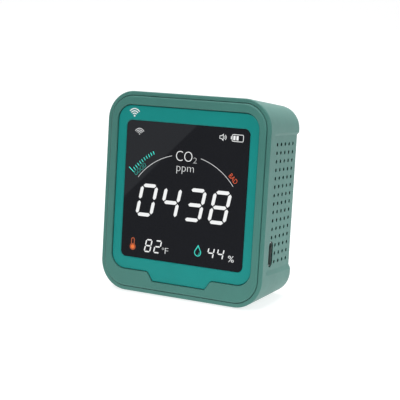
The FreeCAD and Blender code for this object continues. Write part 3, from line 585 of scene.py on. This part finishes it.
def tick_outlines():
    outlines = []
    for index in range(TICK_COUNT):
        degrees = TICK_FIRST + (TICK_LAST - TICK_FIRST) * index / (TICK_COUNT - 1)
        outer = LONG_TICK_OUTER if index == 0 else TICK_OUTER
        outlines.append(tick_outline(degrees, outer))
    return outlines


def wireless_outlines(dot, radii, stroke, half_angle):
    """Fan of arcs over a dot."""
    dot_radius = 0.9 * stroke
    outlines = [disc(dot, dot_radius)]
    for radius in radii:
        outlines += arc_band(dot, radius, 90 - half_angle, 90 + half_angle, stroke)
    return outlines


def speaker_outlines():
    """Outline of a loudspeaker with two arcs of sound."""
    x, level, line = 14.0, 23.6, 0.22
    box_length, box_half, mouth, mouth_half = 0.7, 0.6, 1.65, 1.35
    inner_length, inner_half = 0.8, 0.75
    outer = [
        (x, level + box_half),
        (x, level - box_half),
        (x + box_length, level - box_half),
        (x + mouth, level - mouth_half),
        (x + mouth, level + mouth_half),
        (x + box_length, level + box_half),
    ]
    inner = [
        (x + line, level + box_half - line),
        (x + line, level - box_half + line),
        (x + inner_length, level - box_half + line),
        (x + mouth - line, level - inner_half),
        (x + mouth - line, level + inner_half),
        (x + inner_length, level + box_half - line),
    ]
    outlines = ring(outer, inner)
    for radius in (0.65, 1.15):
        outlines += arc_band((x + 1.6, level), radius, -50, 50, line)
    return outlines


def rectangle(left, right, low, high):
    return [(left, low), (right, low), (right, high), (left, high)]


def ring(outer, inner):
    """Four-sided pieces between two outlines with the same number of points."""
    count = len(outer)
    return [
        [outer[index], outer[(index + 1) % count], inner[(index + 1) % count], inner[index]]
        for index in range(count)
    ]


def rounded_rectangle(left, right, low, high, radius):
    corners = ((right, high, 0), (left, high, 90), (left, low, 180), (right, low, 270))
    points = []
    for x, z, start in corners:
        centre = (x - radius if x == right else x + radius, z - radius if z == high else z + radius)
        for step in range(CORNER_STEPS + 1):
            points.append(on_circle(centre, radius, start + 90 * step / CORNER_STEPS))
    return points


def battery_outlines():
    """Rounded cell with a terminal on its left and two bars of charge."""
    left, right, low, high, line, corner = 19.05, 23.85, 22.35, 25.05, 0.22, 0.6
    terminal_start, terminal_end, terminal_inset = 0.4, 0.12, 0.85
    charge_places, charge_width, charge_inset = (0.6, 1.85), 0.85, 0.55
    outer = rounded_rectangle(left, right, low, high, corner)
    inner = rounded_rectangle(left + line, right - line, low + line, high - line, corner - line)
    outlines = ring(outer, inner)
    outlines.append(rectangle(
        left - terminal_start, left - terminal_end, low + terminal_inset, high - terminal_inset,
    ))
    for place in charge_places:
        start = left + place
        outlines.append(rectangle(start, start + charge_width, low + charge_inset, high - charge_inset))
    return outlines


def drop_outlines():
    """Hollow teardrop with a short gleam inside."""
    centre, radius, line = (7.65, -19.9), 1.45, 0.3
    tip, tip_wall = (7.75, -17.0), 0.72
    first, turn = 25, 230
    sweep = [first - turn * step / ARC_STEPS for step in range(ARC_STEPS + 1)]
    outer = [on_circle(centre, radius, degrees) for degrees in sweep] + [tip]
    inner = [on_circle(centre, radius - line, degrees) for degrees in sweep]
    inner.append((tip[0], tip[1] - tip_wall))
    gleam = arc_band(centre, radius / 2, -80, 10, line / 2)
    return ring(outer, inner) + gleam


def capsule(x, low, high, half):
    """Upright capsule outline."""
    top = [on_circle((x, high - half), half, 180 * step / DOT_STEPS) for step in range(DOT_STEPS + 1)]
    bottom = [on_circle((x, low + half), half, 180 + 180 * step / DOT_STEPS) for step in range(DOT_STEPS + 1)]
    return top + bottom


def thermometer_outlines():
    """Hollow stem over a round bulb."""
    x, low = THERMOMETER_BULB
    top, half, bulb_radius = -17.55, 0.8, 1.3
    hollow_low, hollow_top, hollow_half = 0.4, 0.36, 0.42
    stem = capsule(x, low, top, half)
    hollow = capsule(x, low + hollow_low, top - hollow_top, hollow_half)
    return ring(stem, hollow) + [disc(THERMOMETER_BULB, bulb_radius)]


def text_piece(name, words, material, low_left, size, turn=0.0, thinning=0.02):
    """Words in the built-in typeface, fitted to a width and height and turned about their start."""
    curve = bpy.data.curves.new(name, "FONT")
    curve.body = words
    curve.extrude = PRINT_THICKNESS / 2
    curve.resolution_u = 4
    curve.offset = -thinning
    probe = bpy.data.objects.new(name + "_probe", curve)
    bpy.context.scene.collection.objects.link(probe)
    bpy.context.view_layer.update()
    mesh = bpy.data.meshes.new_from_object(probe.evaluated_get(bpy.context.evaluated_depsgraph_get()))
    bpy.data.objects.remove(probe)
    xs = [vertex.co.x for vertex in mesh.vertices]
    ys = [vertex.co.y for vertex in mesh.vertices]
    fit = Matrix.Diagonal((size[0] / (max(xs) - min(xs)), size[1] / (max(ys) - min(ys)), 1, 1))
    to_start = Matrix.Translation((-min(xs), -min(ys), 0))
    turned = Matrix.Rotation(math.radians(turn), 4, "Z")
    upright = Matrix.Rotation(math.radians(90), 4, "X")
    front = Vector((low_left[0] + READOUT_SHIFT, WINDOW_DEPTH - PRINT_THICKNESS / 2, low_left[1]))
    mesh.transform(Matrix.Scale(MM, 4) @ Matrix.Translation(front) @ upright @ turned @ fit @ to_start)
    mesh.name = name
    on_case(name, mesh, material)


def build_readout():
    white = lit_print("lit_white", WHITE, strength=0.9)
    grey = lit_print("lit_grey", PALE_GREY, strength=1.0)
    pale = lit_print("lit_pale", PALE_GREY, strength=1.5)
    turquoise = lit_print("lit_turquoise", TURQUOISE, strength=1.0)
    ticks = lit_print("lit_tick_turquoise", TURQUOISE, strength=2.4)
    deep = lit_print("lit_deep_turquoise", DEEP_TURQUOISE, strength=2.4)
    red = lit_print("lit_orange_red", ORANGE_RED, strength=1.5)
    dull = lit_print("lit_dull_orange", DULL_ORANGE, strength=0.7)
    bright = lit_print("lit_bright_orange", BRIGHT_ORANGE, strength=0.8)
    dial_line = []
    for start, end in DIAL_SPANS:
        dial_line += arc_band(DIAL_CENTRE, DIAL_RADIUS, start, end, DIAL_LINE)
    wireless = wireless_outlines(dot=(-20.25, 22.1), radii=(0.85, 1.5, 2.15), stroke=0.24, half_angle=60)
    core = [disc(THERMOMETER_BULB, radius=0.72)]
    degree = arc_band(centre=(-7.3, -20.35), radius=0.34, start=0, end=360, stroke=0.16)
    readout_piece("readout_digits", digit_outlines(BIG_DIGITS), white)
    readout_piece("temperature_digits", digit_outlines(TEMPERATURE), white)
    readout_piece("humidity_digits", digit_outlines(HUMIDITY), white)
    readout_piece("dial_line", dial_line, pale)
    readout_piece("dial_ticks", tick_outlines(), ticks)
    readout_piece("wireless_sign", wireless, pale)
    readout_piece("sound_sign", speaker_outlines(), pale)
    readout_piece("battery_sign", battery_outlines(), white)
    readout_piece("drop_sign", drop_outlines(), turquoise)
    readout_piece("thermometer_sign", thermometer_outlines(), dull)
    readout_piece("thermometer_core", core, bright, 2 * PRINT_THICKNESS)
    readout_piece("degree_sign", degree, grey)
    text_piece("gas_name", "CO", white, low_left=(-3.8, 13.45), size=(6.95, 3.7))
    text_piece("gas_index", "2", grey, low_left=(3.6, 13.05), size=(1.55, 2.1))
    text_piece("unit_ppm", "ppm", pale, low_left=(-3.3, 8.65), size=(7.35, 2.85))
    text_piece("unit_fahrenheit", "F", pale, low_left=(-6.4, -22.1), size=(1.45, 2.2))
    text_piece("unit_percent", "%", pale, low_left=(20.4, -21.75), size=(2.45, 2.35), thinning=0.0)
    text_piece("dial_good", "GOOD", deep, low_left=(-20.9, 6.25), size=(6.1, 1.6), turn=42.0, thinning=0.03)
    text_piece("dial_bad", "BAD", red, low_left=(18.6, 9.6), size=(3.9, 1.8), turn=-45.0, thinning=0.015)


def build_panel_sign():
    """Wireless sign printed on the fascia above the window."""
    outlines = wireless_outlines(dot=(-22.9, 28.85), radii=(1.0, 1.85, 2.7), stroke=0.4, half_angle=52)
    mesh = flat_mesh("panel_wireless_sign", outlines, FASCIA_DEPTH, PRINT_THICKNESS)
    on_case("panel_wireless_sign", mesh, ink("panel_white_ink", WHITE))


# --- Signs on the buttons --------------------------------------------------------------------

def button_sign(name, outlines, x, material, body):
    """Shape on the back face of a button cap; mirrored so that it reads right from behind."""
    placed = [[(x - across, BUTTON_LEVEL + up) for across, up in outline] for outline in outlines]
    mesh = flat_mesh(name, placed, CAP_DEPTH + PRINT_THICKNESS, PRINT_THICKNESS)
    on_case(name, mesh, material, body)


def power_outlines():
    """Open ring with a stroke through its gap."""
    opened_ring = arc_band(centre=(0, 0), radius=1.7, start=120, end=420, stroke=0.4)
    return opened_ring + [rectangle(left=-0.2, right=0.2, low=0.5, high=2.3)]


def bell_outlines():
    """Bell with its rim and clapper."""
    shoulder, dome_radius, rim_top, rim_half, flare = 0.3, 1.25, -0.9, 1.8, 1.35
    dome = [on_circle((0, shoulder), dome_radius, 180 * step / DOT_STEPS) for step in range(DOT_STEPS + 1)]
    bell = dome + [(-flare, rim_top), (flare, rim_top)]
    rim = rectangle(-rim_half, rim_half, low=-1.25, high=rim_top)
    clapper = disc((0, -1.6), radius=0.35)
    knob = disc((0, 1.65), radius=0.25)
    return [bell, rim, clapper, knob]


def degree_outlines():
    """Small ring beside an open arc, for the temperature unit."""
    small_ring = arc_band(centre=(-1.35, 1.2), radius=0.45, start=0, end=360, stroke=0.28)
    open_arc = arc_band(centre=(0.55, -0.1), radius=1.45, start=50, end=310, stroke=0.4)
    return small_ring + open_arc


def build_button_signs():
    pale = ink("cap_pale_ink", CAP_INK)
    signs = (("power", power_outlines()), ("alarm", bell_outlines()), ("unit", degree_outlines()))
    for x, (name, outlines) in zip(BUTTON_XS, signs):
        button_sign(name + "_sign", outlines, x, pale, name + "_button")


# --- Studio ----------------------------------------------------------------------------------

def build_camera():
    azimuth, elevation, roll = (math.radians(v) for v in (CAMERA_AZIMUTH, CAMERA_ELEVATION, CAMERA_ROLL))
    back = Vector((
        math.sin(azimuth) * math.cos(elevation),
        -math.cos(azimuth) * math.cos(elevation),
        math.sin(elevation),
    ))
    right = (-back).cross(Vector((0, 0, 1))).normalized()
    up = right.cross(-back)
    level_view = Matrix((right, up, back)).transposed()
    data = bpy.data.cameras.new("view")
    data.sensor_width = SENSOR
    data.lens = LENS
    data.clip_start = 0.01
    camera = bpy.data.objects.new("view", data)
    turned = level_view @ Matrix.Rotation(roll, 3, "Z")
    camera.matrix_world = Matrix.Translation(Vector(CAMERA_PLACE) * MM) @ turned.to_4x4()
    bpy.context.scene.collection.objects.link(camera)
    bpy.context.scene.camera = camera


def softbox(name, place, size, power, colour):
    """Square area light aimed at LIT_POINT."""
    data = bpy.data.lights.new(name, "AREA")
    data.shape = "RECTANGLE"
    data.size = size
    data.size_y = size
    data.energy = power
    data.color = colour
    place = Vector(place)
    away = place - Vector(LIT_POINT)
    light = bpy.data.objects.new(name, data)
    light.matrix_world = Matrix.Translation(place) @ away.to_track_quat("Z", "Y").to_matrix().to_4x4()
    bpy.context.scene.collection.objects.link(light)


def build_lights():
    for name, box in SOFTBOXES.items():
        softbox(name, **box)
    world = bpy.data.worlds.new("studio")
    world.use_nodes = True
    sky = world.node_tree.nodes["Background"]
    sky.inputs["Color"].default_value = (*SKY_COLOUR, 1)
    sky.inputs["Strength"].default_value = SKY_STRENGTH
    bpy.context.scene.world = world
    bpy.context.scene.view_settings.view_transform = "Standard"


def build_glare_card():
    """Pale card that the glossy window mirrors, with its edge along the gleam's diagonal."""
    mirror_point = CASE @ Vector((0, WINDOW_DEPTH * MM, 0))
    normal = CASE.to_3x3() @ Vector((0, -1, 0))
    camera = Vector(CAMERA_PLACE) * MM
    mirrored = camera - 2 * normal.dot(camera - mirror_point) * normal
    edge = [CASE @ (Vector((x, WINDOW_DEPTH, level)) * MM) for x, level in GLARE_EDGE]
    far = [mirrored + (point - mirrored) * GLARE_REACH for point in edge]
    along = (far[1] - far[0]).normalized()
    away = along.cross(normal).normalized()
    corners = [
        far[0] - along * GLARE_SIZE,
        far[1] + along * GLARE_SIZE,
        far[1] + along * GLARE_SIZE + away * GLARE_SIZE,
        far[0] - along * GLARE_SIZE + away * GLARE_SIZE,
    ]
    mesh = bpy.data.meshes.new("glare_card")
    mesh.from_pydata(corners, [], [(0, 1, 2, 3)])
    recipe = Recipe("glare_card_white", (0, 0, 0), roughness=1.0)
    recipe.set(Emission_Color=(*GLARE_COLOUR, 1), Emission_Strength=GLARE_STRENGTH, Specular_IOR_Level=0.0)
    mesh.materials.append(recipe.material)
    card = bpy.data.objects.new("glare_card", mesh)
    bpy.context.scene.collection.objects.link(card)


def build_floor():
    """Pale floor that curves up into a backdrop behind the object, square to the camera."""
    half_width, bend, radius, top = 3.0, 0.9, 0.5, 1.6
    profile = [(bend, 0.0)]
    for step in range(1, DOT_STEPS + 1):
        angle = math.pi / 2 * step / DOT_STEPS
        profile.append((bend + radius * math.sin(angle), radius * (1 - math.cos(angle))))
    profile.append((bend + radius, top))
    mesh = bpy.data.meshes.new("studio_floor")
    points = [(x, y, 0.0) for y, reach in FLOOR_FRONT for x in (-reach, reach)]
    points += [(x, y, z) for y, z in profile for x in (-half_width, half_width)]
    faces = [(2 * i, 2 * i + 1, 2 * i + 3, 2 * i + 2) for i in range(len(points) // 2 - 1)]
    mesh.from_pydata(points, [], faces)
    mesh.materials.append(floor_material())
    for face in mesh.polygons:
        face.use_smooth = True
    floor = bpy.data.objects.new("studio_floor", mesh)
    floor.rotation_euler.z = math.radians(CAMERA_AZIMUTH)
    bpy.context.scene.collection.objects.link(floor)


finish_cad_nodes()
build_readout()
build_panel_sign()
build_button_signs()
build_camera()
build_lights()
build_glare_card()
build_floor()
